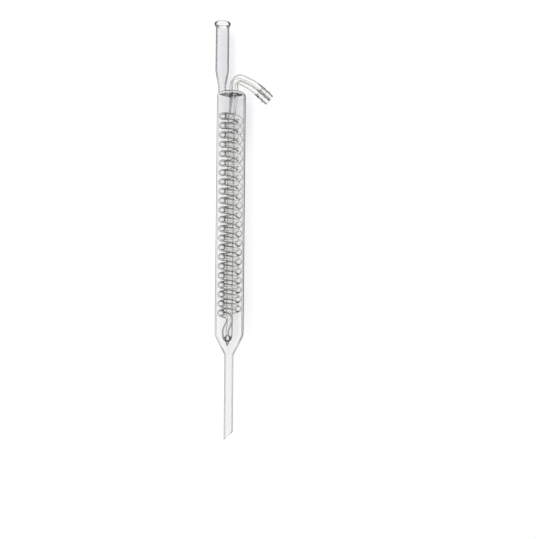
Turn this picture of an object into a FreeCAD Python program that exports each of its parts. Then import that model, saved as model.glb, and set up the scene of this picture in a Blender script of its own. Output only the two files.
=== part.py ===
import FreeCAD, Part

import math
import os
import re

import Sketcher

# A glass reflux condenser with a cooling coil, lying on its side.
# Y runs along the jacket, from the drip stem up to the vent tube, and Z is up.
# The origin is on the jacket's axis, where the drip stem leaves the cone.

SIZES = [
    ("jacket_diameter", 34.4, "outside of the jacket tube"),
    ("jacket_wall", 1.6, "wall of the jacket and of its top plate"),
    ("jacket_length", 316.0, "drip stem's root to the outside of the top plate"),
    ("shoulder_round", 4.0, "outside radius between jacket and top plate"),
    ("cone_angle", 27.0, "half angle of the cone, degrees"),
    ("cone_start", 1.7, "straight neck below the cone"),
    ("cone_top_round", 14.0, "outside radius between cone and jacket"),
    ("cone_root_round", 6.0, "outside radius between stem and cone"),
    ("stem_diameter", 10.6, "outside of the drip stem"),
    ("stem_wall", 1.2, "wall of the drip stem"),
    ("stem_length", 100.0, "root to the tip of the slanted cut"),
    ("cut_angle", 42.0, "slant of the drip stem's cut, degrees"),
    ("vent_offset", 11.4, "jacket's axis to the vent tube's axis"),
    ("vent_diameter", 16.0, "outside of the vent tube"),
    ("vent_wall", 1.2, "wall of the vent tube"),
    ("vent_length", 84.0, "top plate to the rim"),
    ("neck_diameter", 9.6, "outside of the vent tube's neck"),
    ("neck_length", 9.0, "top plate to the start of the taper"),
    ("taper_length", 17.0, "neck to the full vent tube"),
    ("neck_round", 9.0, "radius where neck and taper meet"),
    ("taper_round", 12.0, "radius where taper and vent tube meet"),
    ("lip_diameter", 19.6, "outside of the flared lip"),
    ("lip_thickness", 2.4, "thickness of the rolled lip"),
    ("lip_length", 1.8, "straight part of the lip"),
    ("flare_length", 3.4, "vent tube to the full lip"),
    ("tube_diameter", 8.0, "outside of the coil's tubing"),
    ("tube_wall", 1.0, "wall of the coil's tubing"),
    ("coil_radius", 10.4, "jacket's axis to the coil's centreline"),
    ("coil_turns", 21.0, "turns between the lowest and highest left sides"),
    ("coil_bottom", 51.8, "height of the lowest left side"),
    ("coil_top_gap", 27.95, "highest left side to the outside of the top plate"),
    ("riser_angle", 97.0, "turn from the left side to the riser, degrees"),
    ("riser_bend", 7.0, "radius of the bend from coil to riser"),
    ("tail_angle", 69.7, "turn from the left side to the return limb, degrees"),
    ("tail_bend", 6.5, "radius of the bends below the coil"),
    ("tail_swing", 25.0, "how far the tail leans past upright, degrees"),
    ("tail_run", 8.0, "straight run between the tail's bends"),
    ("return_height", 26.8, "height of the return bend's centre"),
    ("drip_diameter", 5.3, "base of the drip point under the return bend"),
    ("drip_length", 4.8, "return bend to the drip point's tip"),
    ("inlet_offset", 4.0, "jacket's axis to the central tube at the top plate"),
    ("sway_length", 24.0, "length over which the central tube moves aside"),
    ("sway_round", 30.0, "radius of the central tube's two gentle bends"),
    ("inlet_rise", 11.3, "top plate to the inlet's first bend"),
    ("inlet_arm", 9.8, "straight part of the inlet's arm"),
    ("inlet_turn", 12.0, "turn of the inlet's arm about its own base, degrees"),
    ("outlet_rise", 11.3, "top plate to the outlet's first bend"),
    ("outlet_arm", 7.8, "straight part of the outlet's arm"),
    ("outlet_turn", -3.8, "turn of the outlet's arm about its own base, degrees"),
    ("hose_bend", 6.5, "radius of the connectors' first bend"),
    ("droop_round", 60.0, "radius of the connectors' gentle second bend"),
    ("first_droop", 27.0, "slope of the arm after the first bend, degrees"),
    ("last_droop", 42.0, "slope of the ridged end, degrees"),
    ("collar_round", 1.2, "radius of the seal round a tube on the top plate"),
    ("ridge_diameter", 8.9, "outside of the hose ridges"),
    ("valley_diameter", 7.2, "outside between the ridges"),
    ("ridge_pitch", 7.3, "distance from ridge to ridge"),
    ("ridge_count", 2.0, "ridges on each connector"),
    ("ridge_step", 1.7, "length of the steep back of a ridge"),
    ("ridge_top_round", 0.6, "radius on the crest of a ridge"),
    ("mouth_length", 1.5, "plain end past the last ridge"),
    ("hose_end_wall", 1.0, "wall at the connector's mouth"),
    ("join_length", 0.8, "half the length of the seal between arm and ridges"),
    ("join_bead", 0.12, "how far that seal stands proud of the tube"),
    ("seal_depth", 6.0, "spare length that is trimmed off at the top plate"),
    ("cut_margin", 2.0, "how far a cutter reaches past what it cuts"),
]

doc = FreeCAD.newDocument("Condenser")
sheet = doc.addObject("Spreadsheet::Sheet", "Sizes")
for row, (alias, value, note) in enumerate(SIZES, 1):
    sheet.set("A%d" % row, alias)
    sheet.set("B%d" % row, str(value))
    sheet.set("C%d" % row, note)
    sheet.setAlias("B%d" % row, alias)
doc.recompute()

ALIASES = re.compile(r"\b(%s)\b" % "|".join(alias for alias, _, _ in SIZES))
UP = FreeCAD.Vector(0, 1, 0)


def linked(text):
    """The same formula, with each size's name pointing at its cell."""
    return ALIASES.sub(r"Sizes.\1", text)


def size(alias):
    return float(sheet.get(alias))


def worth(text):
    """What a formula of sizes comes to at the moment."""
    result = sheet.evalExpression(linked(text))
    return float(getattr(result, "Value", result))


def bind(thing, **formulas):
    for name, text in formulas.items():
        thing.setExpression(name.replace("__", "."), linked(text))


def make(kind, name):
    thing = doc.addObject(kind, name)
    thing.Label = name
    return thing


def add_sketch(body, name, role):
    """A sketch on one of the body's own origin planes."""
    plane = next(f for f in body.Origin.OriginFeatures if f.Role == role)
    sketch = body.newObject("Sketcher::SketchObject", name)
    sketch.AttachmentSupport = [(plane, "")]
    sketch.MapMode = "FlatFace"
    return sketch


def pin_point(sketch, edge, end, across, along):
    """Holds one end of an edge at a place given by two formulas."""
    for text, kind, axis in ((across, "DistanceX", -2), (along, "DistanceY", -1)):
        if text == "0":
            sketch.addConstraint(Sketcher.Constraint("PointOnObject", edge, end, axis))
            continue
        number = sketch.addConstraint(
            Sketcher.Constraint(kind, -1, 1, edge, end, worth(text)))
        sketch.setExpression("Constraints[%d]" % number, linked(text))


def draw(sketch, corners, closed=True):
    """Straight edges through the corners, with a tangent arc at each corner that has a radius.

    A corner is (across, along) or (across, along, radius), all formulas of sizes.
    """
    count = len(corners)
    spots = [FreeCAD.Vector(worth(c[0]), worth(c[1]), 0) for c in corners]
    radii = [worth(c[2]) if len(c) > 2 else 0.0 for c in corners]
    enter, leave, arcs = list(spots), list(spots), [None] * count
    for i, radius in enumerate(radii):
        if not radius:
            continue
        back = (spots[i - 1] - spots[i]).normalize()
        ahead = (spots[(i + 1) % count] - spots[i]).normalize()
        half = back.getAngle(ahead) / 2
        enter[i] = spots[i] + back * (radius / math.tan(half))
        leave[i] = spots[i] + ahead * (radius / math.tan(half))
        towards = (back + ahead).normalize()
        middle = spots[i] + towards * (radius / math.sin(half) - radius)
        leftward = ahead.cross(back).z > 0
        ends = (enter[i], leave[i]) if leftward else (leave[i], enter[i])
        arcs[i] = (Part.Arc(ends[0], middle, ends[1]), (1, 2) if leftward else (2, 1))
    runs = count if closed else count - 1
    lines = [sketch.addGeometry(Part.LineSegment(leave[i], enter[(i + 1) % count]))
             for i in range(runs)]
    for i, corner in enumerate(corners):
        before = lines[i - 1] if closed or i else None
        after = lines[i] if i < runs else None
        if arcs[i] is None:
            if before is None or after is None:
                edge, end = (after, 1) if before is None else (before, 2)
                pin_point(sketch, edge, end, corner[0], corner[1])
                continue
            sketch.addConstraint(Sketcher.Constraint("Coincident", before, 2, after, 1))
            pin_point(sketch, after, 1, corner[0], corner[1])
            continue
        curve, (first_end, last_end) = arcs[i]
        arc = sketch.addGeometry(curve)
        sketch.addConstraint(Sketcher.Constraint("Tangent", before, 2, arc, first_end))
        sketch.addConstraint(Sketcher.Constraint("Tangent", arc, last_end, after, 1))
        number = sketch.addConstraint(Sketcher.Constraint("Radius", arc, radii[i]))
        sketch.setExpression("Constraints[%d]" % number, linked(corner[2]))
        crossing = sketch.addGeometry(Part.Point(spots[i]), True)
        for edge in (before, after):
            sketch.addConstraint(
                Sketcher.Constraint("PointOnObject", crossing, 1, edge))
        pin_point(sketch, crossing, 1, corner[0], corner[1])


def draw_ring(sketch, outer, inner):
    """Two circles about the sketch's own centre, from formulas for their radii."""
    for text in (outer, inner):
        circle = sketch.addGeometry(
            Part.Circle(FreeCAD.Vector(), FreeCAD.Vector(0, 0, 1), worth(text)))
        sketch.addConstraint(Sketcher.Constraint("Coincident", circle, 3, -1, 1))
        number = sketch.addConstraint(Sketcher.Constraint("Radius", circle, worth(text)))
        sketch.setExpression("Constraints[%d]" % number, linked(text))


def revolve(body, name, corners, role="XY_Plane"):
    """A closed outline turned about the sketch's upright axis."""
    sketch = add_sketch(body, name + "_outline", role)
    draw(sketch, corners)
    turned = body.newObject("PartDesign::Revolution", name)
    turned.Profile = sketch
    turned.ReferenceAxis = (sketch, ["V_Axis"])
    turned.Angle = 360
    return sketch, turned


def join(kind, name, base, tool):
    """A named boolean of two objects."""
    result = make(kind, name)
    result.Base = base
    result.Tool = tool
    return result


def pipe(body, name, corners, start):
    """The coil's tubing, bent along a flat path that starts upright at the given height."""
    path = add_sketch(body, name + "_path", "XY_Plane")
    draw(path, corners, closed=False)
    ring = add_sketch(body, name + "_ring", "XZ_Plane")
    draw_ring(ring, "tube_diameter / 2", "tube_diameter / 2 - tube_wall")
    bind(ring, AttachmentOffset__Base__z="-(%s)" % start)
    swept = body.newObject("PartDesign::AdditivePipe", name)
    swept.Profile = ring
    swept.Spine = path
    swept.Mode = "Standard"
    return swept


# Jacket: the outside and the hollow are turned, and the top plate is drilled
# where the vent's neck and the two tubes are sealed to it.

CONE_TOP = "cone_start + (jacket_diameter - stem_diameter) / 2 / tan(cone_angle)"
LEAN = "tan(cone_angle / 2)"


def make_jacket():
    outside = make("PartDesign::Body", "jacket_outside")
    revolve(outside, "outside", [
        ("0", "0"),
        ("stem_diameter / 2", "0"),
        ("stem_diameter / 2", "cone_start", "cone_root_round"),
        ("jacket_diameter / 2", CONE_TOP, "cone_top_round"),
        ("jacket_diameter / 2", "jacket_length", "shoulder_round"),
        ("0", "jacket_length"),
    ])
    hollow = make("PartDesign::Body", "jacket_hollow")
    bore = "stem_diameter / 2 - stem_wall"
    revolve(hollow, "hollow", [
        ("0", "0"),
        (bore, "0"),
        (bore, "cone_start + stem_wall * " + LEAN, "cone_root_round + stem_wall"),
        ("jacket_diameter / 2 - jacket_wall",
         CONE_TOP + " + jacket_wall * " + LEAN, "cone_top_round - jacket_wall"),
        ("jacket_diameter / 2 - jacket_wall", "jacket_length - jacket_wall",
         "shoulder_round - jacket_wall"),
        ("0", "jacket_length - jacket_wall"),
    ])
    shell = join("Part::Cut", "jacket_shell", outside, hollow)
    tube_bore = "tube_diameter / 2 - tube_wall"
    drills = [
        make_drill("vent_drill", "neck_diameter / 2 - vent_wall", "-vent_offset", None),
        make_drill("inlet_drill", tube_bore, "inlet_offset", None),
        make_drill("outlet_drill", tube_bore, RISER_X, RISER_Z),
    ]
    holes = make("Part::MultiFuse", "plate_holes")
    holes.Shapes = drills
    return outside, hollow, join("Part::Cut", "outer_jacket", shell, holes)


RISER_X = "-coil_radius * cos(riser_angle)"
RISER_Z = "-coil_radius * sin(riser_angle)"


def make_drill(name, radius, across, height):
    """A round cutter through the top plate, parallel to the jacket."""
    drill = make("Part::Cylinder", name)
    drill.Placement = FreeCAD.Placement(
        FreeCAD.Vector(), FreeCAD.Rotation(FreeCAD.Vector(1, 0, 0), -90))
    bind(drill, Radius=radius, Height="seal_depth + cut_margin",
         Placement__Base__x=across, Placement__Base__y="jacket_length - seal_depth")
    if height:
        bind(drill, Placement__Base__z=height)
    return drill


# Drip stem: a length of tubing with its lower end cut at a slant.

def make_stem():
    body = make("PartDesign::Body", "drip_stem")
    ring = add_sketch(body, "stem_ring", "XZ_Plane")
    draw_ring(ring, "stem_diameter / 2", "stem_diameter / 2 - stem_wall")
    pad = body.newObject("PartDesign::Pad", "stem_tube")
    pad.Profile = ring
    bind(pad, Length="stem_length")
    doc.recompute()
    whole = pad.Shape.Volume
    slant = add_sketch(body, "stem_slant", "XY_Plane")
    reach = "(stem_diameter / 2 + cut_margin)"
    low = "-stem_length - cut_margin * tan(cut_angle)"
    draw(slant, [
        ("-" + reach, low),
        (reach, low),
        (reach, low + " + 2 * %s * tan(cut_angle)" % reach),
    ])
    cut = body.newObject("PartDesign::Pocket", "stem_cut")
    cut.Profile = slant
    cut.Type = "Length"
    cut.SideType = "Symmetric"
    bind(cut, Length="2 * (stem_diameter + cut_margin)")
    doc.recompute()
    if cut.Shape.Volume >= whole:
        raise RuntimeError("the slanted cut took nothing off the drip stem")
    return body


# Vent tube: a narrow neck that opens into a wide tube with a rolled lip.
# Its foot is trimmed to the jacket's shoulder.

def make_vent(outside):
    body = make("PartDesign::Body", "vent_blank")
    taper_end = "jacket_length + neck_length + taper_length"
    top = "jacket_length + vent_length"
    lip = "lip_diameter / 2 - lip_thickness"
    rim_round = "lip_thickness * 0.45"
    foot = "jacket_length - seal_depth"
    revolve(body, "vent", [
        ("neck_diameter / 2 - vent_wall", foot),
        ("neck_diameter / 2", foot),
        ("neck_diameter / 2", "jacket_length + neck_length", "neck_round"),
        ("vent_diameter / 2", taper_end, "taper_round"),
        ("vent_diameter / 2", top + " - lip_length - flare_length", "flare_length"),
        ("lip_diameter / 2", top + " - lip_length", "lip_length / 2"),
        ("lip_diameter / 2", top, rim_round),
        (lip, top, rim_round),
        (lip, top + " - lip_length", "lip_length / 2"),
        ("vent_diameter / 2 - vent_wall", top + " - lip_length - flare_length",
         "flare_length"),
        ("vent_diameter / 2 - vent_wall", taper_end, "taper_round + vent_wall"),
        ("neck_diameter / 2 - vent_wall", "jacket_length + neck_length",
         "neck_round - vent_wall"),
    ])
    bind(body, Placement__Base__x="-vent_offset")
    return join("Part::Cut", "vent_tube", body, outside)


# Hose connectors: the coil's tubing goes on above the top plate, bends over,
# droops and ends in a ridged nose for a rubber hose.

def make_connector(name, rise, arm, turn, across, height, outside):
    body = make("PartDesign::Body", name + "_blank")
    foot = "jacket_length - seal_depth"
    tip = "(90 + first_droop) / 2"
    setback = "hose_bend * tan(%s)" % tip
    easing = "droop_round * tan((last_droop - first_droop) / 2)"
    peak = "jacket_length + %s + %s" % (rise, setback)
    slope = "(%s + %s + %s)" % (setback, arm, easing)
    knee_x = "%s * cos(first_droop)" % slope
    knee_y = "%s - %s * sin(first_droop)" % (peak, slope)
    end_run = "(%s + cut_margin / 2)" % easing
    end_x = "%s + %s * cos(last_droop)" % (knee_x, end_run)
    end_y = "%s - %s * sin(last_droop)" % (knee_y, end_run)
    pipe(body, name + "_bend", [
        ("0", foot),
        ("0", peak, "hose_bend"),
        (knee_x, knee_y, "droop_round"),
        (end_x, end_y),
    ], foot)

    middle = "tube_diameter / 2 - tube_wall / 2"
    revolve(body, name + "_collar", [
        (middle, foot),
        ("tube_diameter / 2 + collar_round", foot),
        ("tube_diameter / 2 + collar_round", "jacket_length + collar_round / 4"),
        ("tube_diameter / 2", "jacket_length + collar_round / 4",
         "collar_round * 0.96"),
        ("tube_diameter / 2", "jacket_length + 1.5 * collar_round"),
        (middle, "jacket_length + 1.6 * collar_round"),
    ])

    nose_bore = "valley_diameter / 2 - hose_end_wall"
    mouth_round = "hose_end_wall * 0.45"
    nose = [
        ("tube_diameter / 2 - tube_wall - join_bead", "-join_length"),
        ("tube_diameter / 2 + join_bead", "-join_length"),
        ("tube_diameter / 2 + join_bead", "join_length"),
    ]
    for i in range(int(size("ridge_count"))):
        low = "join_length + %d * ridge_pitch" % i
        nose += [
            ("valley_diameter / 2", low + " + ridge_step * 0.4"),
            ("ridge_diameter / 2", low + " + ridge_step", "ridge_top_round"),
        ]
    taper_end = "join_length + ridge_count * ridge_pitch"
    mouth = taper_end + " + mouth_length"
    nose += [
        ("valley_diameter / 2", taper_end),
        ("valley_diameter / 2", mouth, mouth_round),
        (nose_bore, mouth, mouth_round),
        (nose_bore, "join_length + ridge_step"),
    ]
    nose_sketch, _ = revolve(body, name + "_nose", nose)
    bind(nose_sketch,
         AttachmentOffset__Base__x=end_x, AttachmentOffset__Base__y=end_y,
         AttachmentOffset__Rotation__Angle="90 + last_droop")
    nose_sketch.AttachmentOffset = FreeCAD.Placement(
        FreeCAD.Vector(worth(end_x), worth(end_y), 0),
        FreeCAD.Rotation(FreeCAD.Vector(0, 0, -1), 90 + size("last_droop")))

    body.Placement = FreeCAD.Placement(
        FreeCAD.Vector(), FreeCAD.Rotation(FreeCAD.Vector(0, -1, 0), size("inlet_turn")))
    bind(body, Placement__Base__x=across, Placement__Rotation__Angle=turn)
    if height:
        bind(body, Placement__Base__z=height)
    return join("Part::Cut", name, body, outside)


# Central tube: it takes the water up from the return bend, along the axis,
# and moves gently aside to meet its connector above the top plate.

def make_central_tube(hollow):
    body = make("PartDesign::Body", "central_blank")
    top = "jacket_length - jacket_wall / 2"
    lean_top = "jacket_length - sway_round * tan(asin(inlet_offset / sway_length) / 2)"
    lean_low = "%s - sqrt(sway_length ^ 2 - inlet_offset ^ 2)" % (
        lean_top + " - jacket_wall - cut_margin")
    pipe(body, "central_pipe", [
        ("0", "return_height"),
        ("0", lean_low, "sway_round"),
        ("inlet_offset", lean_top + " - jacket_wall - cut_margin", "sway_round"),
        ("inlet_offset", top),
    ], "return_height")
    return join("Part::Common", "central_tube", body, hollow)


# Cooling coil: the tube's centreline is drawn unrolled, as straight runs and
# round turns on a flat sheet, and the sheet is wrapped round the winding cylinder.

FIRST_HEADING = 270.0
ARC_STEP = 45.0
STRAIGHT = 1e-7


def unrolled_route():
    """Moves of the coil's centreline from the top plate down, and where they start."""
    radius = size("coil_radius")
    round_trip = 2 * math.pi * radius
    wound = size("jacket_length") - size("coil_top_gap") - size("coil_bottom")
    slope = wound / size("coil_turns") / round_trip
    climb = math.degrees(math.atan(slope))
    along = 180.0 + climb
    down = FIRST_HEADING
    swing = size("tail_swing")
    riser_bend = size("riser_bend")
    tail_bend = size("tail_bend")
    tail_run = size("tail_run")

    def sine(angle):
        return math.sin(math.radians(angle))

    def cosine(angle):
        return math.cos(math.radians(angle))

    start = (size("coil_turns") + size("riser_angle") / 360) * round_trip
    coil_top = start - riser_bend * (sine(along) - sine(down))
    limb = -size("tail_angle") / 360 * round_trip
    tail_shift = tail_bend * (sine(down + swing) - sine(along))
    tail_shift += tail_run * cosine(down + swing)
    tail_shift += tail_bend * (sine(down + swing) - sine(down))
    coil_end = limb - tail_shift
    top_level = size("coil_bottom") + slope * coil_top
    end_level = size("coil_bottom") + slope * coil_end
    riser_foot = top_level - riser_bend * cosine(along)
    tail_drop = tail_bend * (cosine(down + swing) - cosine(along))
    tail_drop -= tail_run * sine(down + swing)
    tail_drop += tail_bend * cosine(down + swing)
    limb_top = end_level - tail_drop
    riser_top = size("jacket_length") - size("jacket_wall") / 2
    moves = [
        ("run", riser_top - riser_foot),
        ("turn", riser_bend, along - down),
        ("run", (coil_top - coil_end) / cosine(climb)),
        ("turn", tail_bend, down + swing - along),
        ("run", tail_run),
        ("turn", tail_bend, -swing),
        ("run", limb_top - size("return_height")),
    ]
    return moves, start, riser_top


def wrap(around, level, heading):
    """A point of the unrolled sheet and its direction, wrapped round the winding cylinder."""
    radius = size("coil_radius")
    angle = around / radius
    spot = FreeCAD.Vector(-radius * math.cos(angle), level, -radius * math.sin(angle))
    side = FreeCAD.Vector(math.sin(angle), 0, -math.cos(angle))
    bearing = math.radians(heading)
    return spot, side * math.cos(bearing) + UP * math.sin(bearing)


def stations():
    """Points and directions along the whole coil, close enough for smooth arcs."""
    moves, around, level = unrolled_route()
    heading = FIRST_HEADING
    step = math.radians(ARC_STEP) * size("coil_radius")
    found = [wrap(around, level, heading)]
    for move in moves:
        if move[0] == "run":
            upright = abs(math.cos(math.radians(heading))) < 1e-9
            parts = 1 if upright else max(1, math.ceil(move[1] / step))
            for _ in range(parts):
                around += move[1] / parts * math.cos(math.radians(heading))
                level += move[1] / parts * math.sin(math.radians(heading))
                found.append(wrap(around, level, heading))
            continue
        _, radius, angle = move
        parts = max(2, math.ceil(abs(angle) / ARC_STEP * 2))
        hand = 1 if angle > 0 else -1
        for _ in range(parts):
            after = heading + angle / parts
            a, b = math.radians(heading), math.radians(after)
            around += hand * radius * (math.sin(b) - math.sin(a))
            level -= hand * radius * (math.cos(b) - math.cos(a))
            heading = after
            found.append(wrap(around, level, heading))
    return found


def arc_between(start, end, corner):
    """The arc that leaves the start towards the corner and comes from it into the end."""
    chord = (start + end) * 0.5
    lift = corner - chord
    half = (end - start).Length / 2
    leg = (corner - start).Length
    if lift.Length < STRAIGHT * half:
        return Part.LineSegment(start, end).toShape()
    radius = leg * half / lift.Length
    sagitta = radius - math.sqrt(max(radius * radius - half * half, 0.0))
    return Part.Arc(start, chord + lift.normalize() * sagitta, end).toShape()


def smooth_edges(start, start_way, end, end_way):
    """Two arcs that leave one station and reach the next in the right directions."""
    gap = end - start
    ways = start_way + end_way
    square = 2 * (1 - start_way.dot(end_way))
    if square < STRAIGHT ** 2:
        return [Part.LineSegment(start, end).toShape()]
    linear = 2 * gap.dot(ways)
    reach = (-linear + math.sqrt(linear ** 2 + 4 * square * gap.dot(gap))) / (2 * square)
    first = start + start_way * reach
    second = end - end_way * reach
    middle = (first + second) * 0.5
    return [arc_between(start, middle, first), arc_between(middle, end, second)]


def make_coil(hollow):
    found = stations()
    edges = []
    for (start, start_way), (end, end_way) in zip(found, found[1:]):
        edges += smooth_edges(start, start_way, end, end_way)
    limb = found[-1][0]
    axis = FreeCAD.Vector(0, size("return_height"), 0)
    bend_radius = size("coil_radius") / 2
    lowest = (limb + axis) * 0.5 - UP * bend_radius
    bend = Part.Arc(limb, lowest, axis).toShape()
    route = Part.Wire(edges + [bend])

    outer = size("tube_diameter") / 2
    inner = outer - size("tube_wall")

    def rod(path, spot, way, radius):
        section = Part.Wire(Part.makeCircle(radius, spot, way))
        return path.makePipeShell([section], True, False)

    top, down = found[0]
    tube = rod(route, top, down, outer).cut(rod(route, top, down, inner))
    bend_bore = rod(Part.Wire(bend), limb, UP, inner)
    point = Part.makeCone(
        0, size("drip_diameter") / 2, size("drip_length") + size("tube_wall") * 1.5,
        lowest - UP * (outer + size("drip_length")), UP)
    tube = tube.fuse(point.cut(bend_bore))
    swept = make("Part::Feature", "coil_blank")
    swept.Shape = tube
    return join("Part::Common", "cooling_coil", swept, hollow)


def check_and_export(pieces):
    doc.recompute()
    for thing in doc.Objects:
        if "Invalid" in thing.State or "Error" in thing.State:
            raise RuntimeError("%s failed: %s" % (thing.Name, thing.State))
    for piece in pieces:
        shape = piece.Shape
        if shape.isNull() or not shape.isValid():
            raise RuntimeError(piece.Label + " has no valid shape")
        if len(shape.Solids) != 1:
            raise RuntimeError(piece.Label + " is not one solid")
    os.makedirs("parts", exist_ok=True)
    for piece in pieces:
        piece.Shape.exportStep("parts/%s.step" % piece.Label)


jacket_outside, jacket_hollow, outer_jacket = make_jacket()
check_and_export([
    outer_jacket,
    make_stem(),
    make_vent(jacket_outside),
    make_coil(jacket_hollow),
    make_central_tube(jacket_hollow),
    make_connector("inlet_connector", "inlet_rise", "inlet_arm", "inlet_turn",
                   "inlet_offset", None, jacket_outside),
    make_connector("outlet_connector", "outlet_rise", "outlet_arm", "outlet_turn",
                   RISER_X, RISER_Z, jacket_outside),
])
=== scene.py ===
from math import asin, atan, cos, pi, radians, sin, sqrt, tan

import bmesh
import bpy
from mathutils import Matrix, Vector


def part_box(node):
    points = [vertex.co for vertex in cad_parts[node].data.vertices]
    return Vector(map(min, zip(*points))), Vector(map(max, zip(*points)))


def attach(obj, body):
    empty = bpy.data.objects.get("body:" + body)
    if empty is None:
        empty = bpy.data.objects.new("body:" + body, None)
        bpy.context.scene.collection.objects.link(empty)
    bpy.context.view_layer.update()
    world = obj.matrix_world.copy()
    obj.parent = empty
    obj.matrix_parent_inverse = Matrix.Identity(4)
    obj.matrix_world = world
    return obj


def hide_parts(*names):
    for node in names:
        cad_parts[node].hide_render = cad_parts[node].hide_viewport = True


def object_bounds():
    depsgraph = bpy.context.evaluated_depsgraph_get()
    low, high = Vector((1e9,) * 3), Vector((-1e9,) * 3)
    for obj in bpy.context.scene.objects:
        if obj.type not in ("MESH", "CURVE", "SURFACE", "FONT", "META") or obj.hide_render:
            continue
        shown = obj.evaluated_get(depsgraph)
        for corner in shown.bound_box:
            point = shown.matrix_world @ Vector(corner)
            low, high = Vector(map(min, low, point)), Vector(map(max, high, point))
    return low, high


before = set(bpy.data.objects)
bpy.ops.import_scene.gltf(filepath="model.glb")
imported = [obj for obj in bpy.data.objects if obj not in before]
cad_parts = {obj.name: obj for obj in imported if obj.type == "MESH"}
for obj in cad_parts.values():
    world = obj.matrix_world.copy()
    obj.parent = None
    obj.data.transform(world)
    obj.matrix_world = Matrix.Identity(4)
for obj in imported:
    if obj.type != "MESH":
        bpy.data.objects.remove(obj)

bl_info = {
    "name": "Coil condenser",
    "version": (1, 0, 0),
    "blender": (4, 5, 0),
    "location": "View3D > Sidebar > Condenser",
    "description": "Blows the glass of a reflux condenser with a cooling coil and sets its stage",
    "category": "Object",
}

# The condenser lies along Y, with its drip stem towards -Y and Z up. The origin
# is on the jacket's axis, where the stem leaves the cone. Lengths are in metres.
MM = 0.001
ALONG = Vector((0, 1, 0))
CAD_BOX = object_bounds()
MIDDLE = (CAD_BOX[0] + CAD_BOX[1]) / 2
JACKET_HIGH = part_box("outer_jacket")[1]
STEM_LOW, STEM_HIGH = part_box("drip_stem")
VENT_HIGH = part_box("vent_tube")[1]

# Sides of the turned parts and of the drawn tubing, the tubing's step along its route, the
# points round each of its bends, and the gap under which its lengths are joined.
JACKET_SIDES = 128
VENT_SIDES = 80
RING_SIDES = 48
DRIP_SIDES = 32
TUBING_SIDES = 28
BORE_SIDES = 20
TUBING_STEP = 1.7 * MM
BEND_POINTS = 16
JOIN_GAP = 0.05 * MM

# Shares of a wall: how deep the vent's foot sinks into the top plate, how far inside the
# neck's outside the drill cuts, and how much of a rim is melted round on each side.
FOOT_SHARE = 0.94
DRILL_SHARE = 1.04
RIM_SHARE = 0.45
# Share of a collar's radius that its hollow keeps, and how many radii it stands off the
# top plate.
HOLLOW_SHARE = 0.96
COLLAR_REACH = 1.6
# Share of a ridge's steep back where the valley ends.
VALLEY_SHARE = 0.4
# How far the bore's cutter reaches past an arm into the ridged end, which has its own bore.
BORE_OVERRUN = 0.6 * MM
# Faces that meet at more than this angle stay sharp.
SHARP_ANGLE = radians(35)

# Draw marks lie a few tenths of a millimetre apart in a real tube. Here they are coarser
# and longer, so that they show. The waves come from the flame.
MARK_SPACING = 1.5 * MM
MARK_LENGTH = 60 * MM
WAVE_LENGTH = 14 * MM


def millimetres(name, description, value):
    return bpy.props.FloatProperty(
        name=name, description=description, default=value * MM, unit="LENGTH", precision=5)


def degrees(name, description, value):
    return bpy.props.FloatProperty(
        name=name, description=description, default=radians(value), subtype="ANGLE")


def linear(code):
    """The linear colour of an sRGB hex code."""
    shares = [int(code[i:i + 2], 16) / 255 for i in (0, 2, 4)]
    return tuple(s / 12.92 if s <= 0.04045 else ((s + 0.055) / 1.055) ** 2.4 for s in shares)


def colour(name, description, code):
    return bpy.props.FloatVectorProperty(
        name=name, description=description, default=linear(code), subtype="COLOR",
        min=0.0, max=1.0)


def share(name, description, value):
    return bpy.props.FloatProperty(
        name=name, description=description, default=value, subtype="FACTOR")


def watts(name, description, value):
    return bpy.props.FloatProperty(
        name=name, description=description, default=value, unit="POWER")


class JacketSizes(bpy.types.PropertyGroup):
    diameter: millimetres("Diameter", "Outside of the jacket tube", 2 * JACKET_HIGH.x / MM)
    wall: millimetres("Wall", "Wall of the jacket and of its top plate", 1.6)
    length: millimetres("Length", "Stem's root to the outside of the top plate",
                        JACKET_HIGH.y / MM)
    shoulder_round: millimetres("Shoulder", "Radius between jacket and top plate", 4.0)
    cone_angle: degrees("Cone angle", "Half angle of the cone", 27.0)
    cone_start: millimetres("Cone start", "Straight neck below the cone", 1.7)
    cone_top_round: millimetres("Cone top", "Radius between cone and jacket", 14.0)
    cone_root_round: millimetres("Cone root", "Radius between stem and cone", 6.0)
    stem_diameter: millimetres("Stem diameter", "Outside of the drip stem",
                               2 * STEM_HIGH.z / MM)
    stem_wall: millimetres("Stem wall", "Wall of the drip stem", 1.2)
    stem_length: millimetres("Stem length", "Root to the tip of the slanted cut",
                             -STEM_LOW.y / MM)
    cut_angle: degrees("Cut", "Slant of the drip stem's cut", 42.0)
    cut_polish: millimetres("Cut polish", "Radius melted on to the rim of the cut", 0.45)


class VentSizes(bpy.types.PropertyGroup):
    offset: millimetres("Offset", "Jacket's axis to the vent tube's axis", 11.4)
    diameter: millimetres("Diameter", "Outside of the vent tube", 16.0)
    wall: millimetres("Wall", "Wall of the vent tube", 1.2)
    length: millimetres("Length", "Top plate to the rim", (VENT_HIGH.y - JACKET_HIGH.y) / MM)
    neck_diameter: millimetres("Neck diameter", "Outside of the neck", 9.6)
    neck_length: millimetres("Neck length", "Top plate to the start of the taper", 9.0)
    taper_length: millimetres("Taper", "Neck to the full vent tube", 17.0)
    neck_round: millimetres("Neck round", "Radius where neck and taper meet", 9.0)
    taper_round: millimetres("Taper round", "Radius where taper and tube meet", 12.0)
    lip_diameter: millimetres("Lip diameter", "Outside of the flared lip", 19.6)
    lip_thickness: millimetres("Lip thickness", "Thickness of the rolled lip", 2.4)
    lip_length: millimetres("Lip length", "Straight part of the lip", 1.8)
    flare_length: millimetres("Flare", "Vent tube to the full lip", 3.4)


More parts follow.
